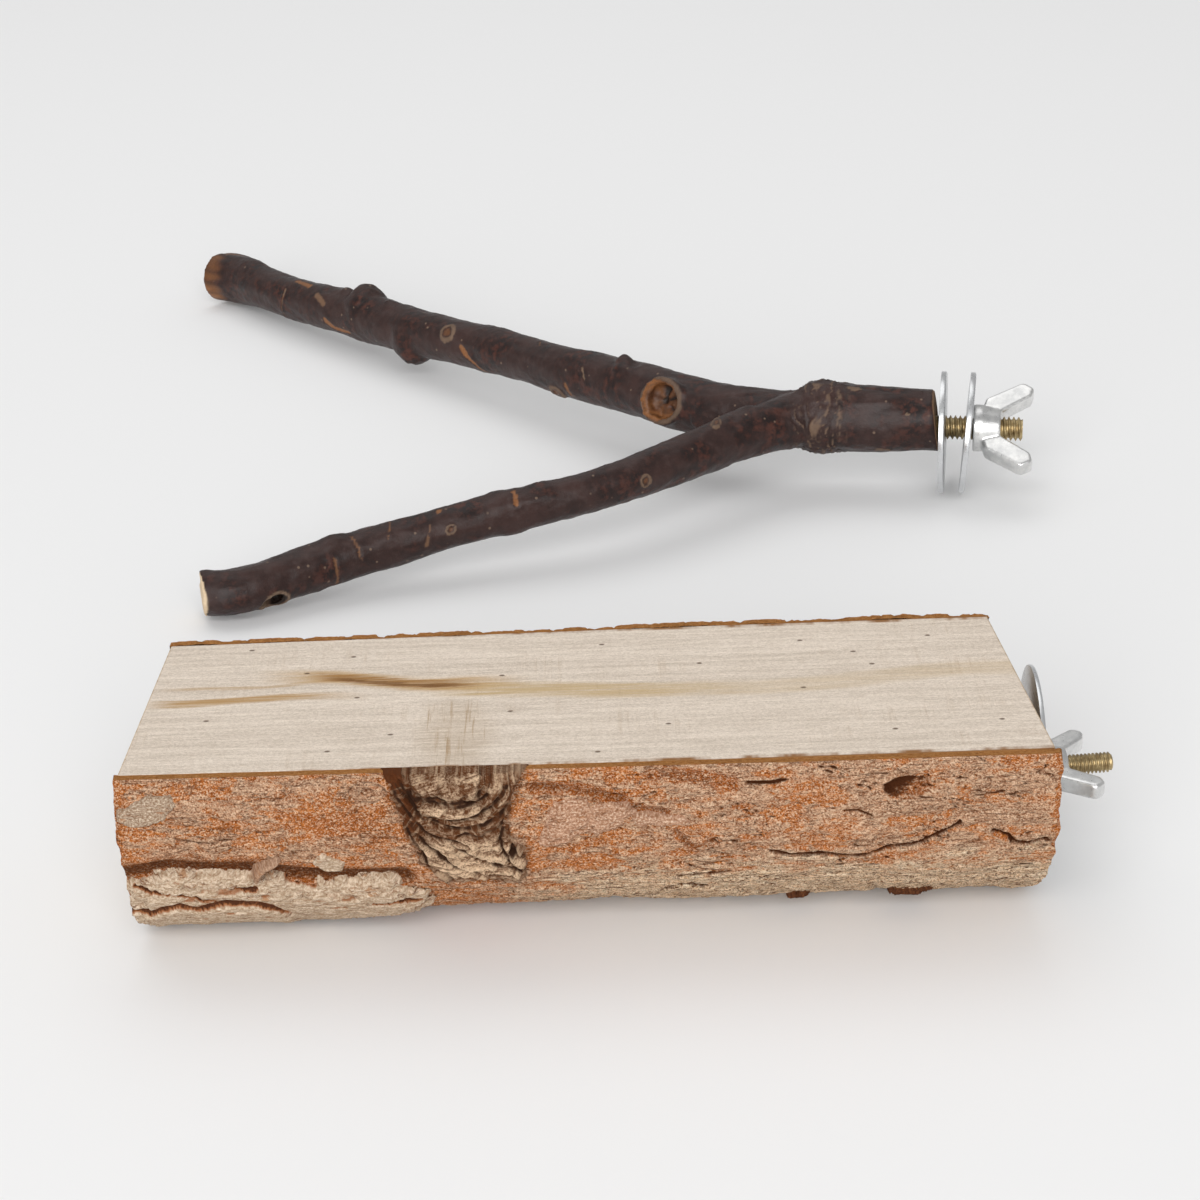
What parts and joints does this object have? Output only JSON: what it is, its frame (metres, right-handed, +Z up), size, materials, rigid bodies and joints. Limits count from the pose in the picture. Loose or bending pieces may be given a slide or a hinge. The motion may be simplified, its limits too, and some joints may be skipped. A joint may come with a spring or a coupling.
{
  "type": "bird perch set",
  "caption": "Bird perch set: sawn log platform with bark and a forked branch, each with a threaded stud, washers and a wing nut that clamp to cage wires.",
  "frame": {"origin": "on the floor, under the middle of the whole set", "axes": "+X along the log towards its clamp, +Y from the log towards the forked branch, +Z up"},
  "size_m": [0.2398, 0.4104, 0.0432],
  "materials": {
    "sawn_wood": "rough sawn, dry",
    "log_bark": "rough flaking bark",
    "knot_wood": "weathered fibrous knot",
    "pale_bark": "dry peeling bark plate",
    "branch_bark": "smooth bark, low sheen",
    "yellow_zinc": "yellow zinc plated",
    "bright_zinc": "bright zinc",
    "nut_zinc": "forged, bright zinc"
  },
  "bodies": {
    "log_perch": {"log_core": "sawn_wood", "log_bark": "log_bark", "log_knot": "knot_wood", "loose_bark_plates": "pale_bark", "log_hanger_bolt": "yellow_zinc", "log_inner_washer": "bright_zinc"},
    "log_clamp_washer": {"log_outer_washer": "bright_zinc"},
    "log_clamp_nut": {"log_wing_nut": "nut_zinc"},
    "branch_perch": {"forked_branch": "branch_bark", "branch_hanger_bolt": "yellow_zinc", "branch_inner_washer": "bright_zinc"},
    "branch_clamp_washer": {"branch_outer_washer": "bright_zinc"},
    "branch_clamp_nut": {"branch_wing_nut": "nut_zinc"}
  },
  "joints": [
    {"name": "branch_lift", "type": "slide", "parent": "log_perch", "child": "branch_perch", "axis": [0, 0, 1], "range_m": [0, 0.08]},
    {"name": "log_washer_slide", "type": "slide", "parent": "log_perch", "child": "log_clamp_washer", "axis": [0.9963, 0.0854, 0], "range_m": [0, 0.01352]},
    {"name": "log_nut_spin", "type": "hinge", "parent": "log_clamp_washer", "child": "log_clamp_nut", "pos_m": [0.08607, -0.1688, 0.02145], "axis": [0.9963, 0.0854, 0], "range_deg": [0, 6127.76]},
    {"name": "branch_washer_slide", "type": "slide", "parent": "branch_perch", "child": "branch_clamp_washer", "axis": [0.9877, -0.1564, 0], "range_m": [-0.00354, 0.01037]},
    {"name": "branch_nut_spin", "type": "hinge", "parent": "branch_clamp_washer", "child": "branch_clamp_nut", "pos_m": [0.09419, 0.02492, 0.01881], "axis": [0.9877, -0.1564, 0], "range_deg": [-1003.68, 2940.11]}
  ],
  "couplings": [
    {"joint": "log_washer_slide", "follows": "log_nut_spin", "m_per_rad": 0.00012637},
    {"joint": "branch_washer_slide", "follows": "branch_nut_spin", "m_per_rad": 0.00020213}
  ]
}
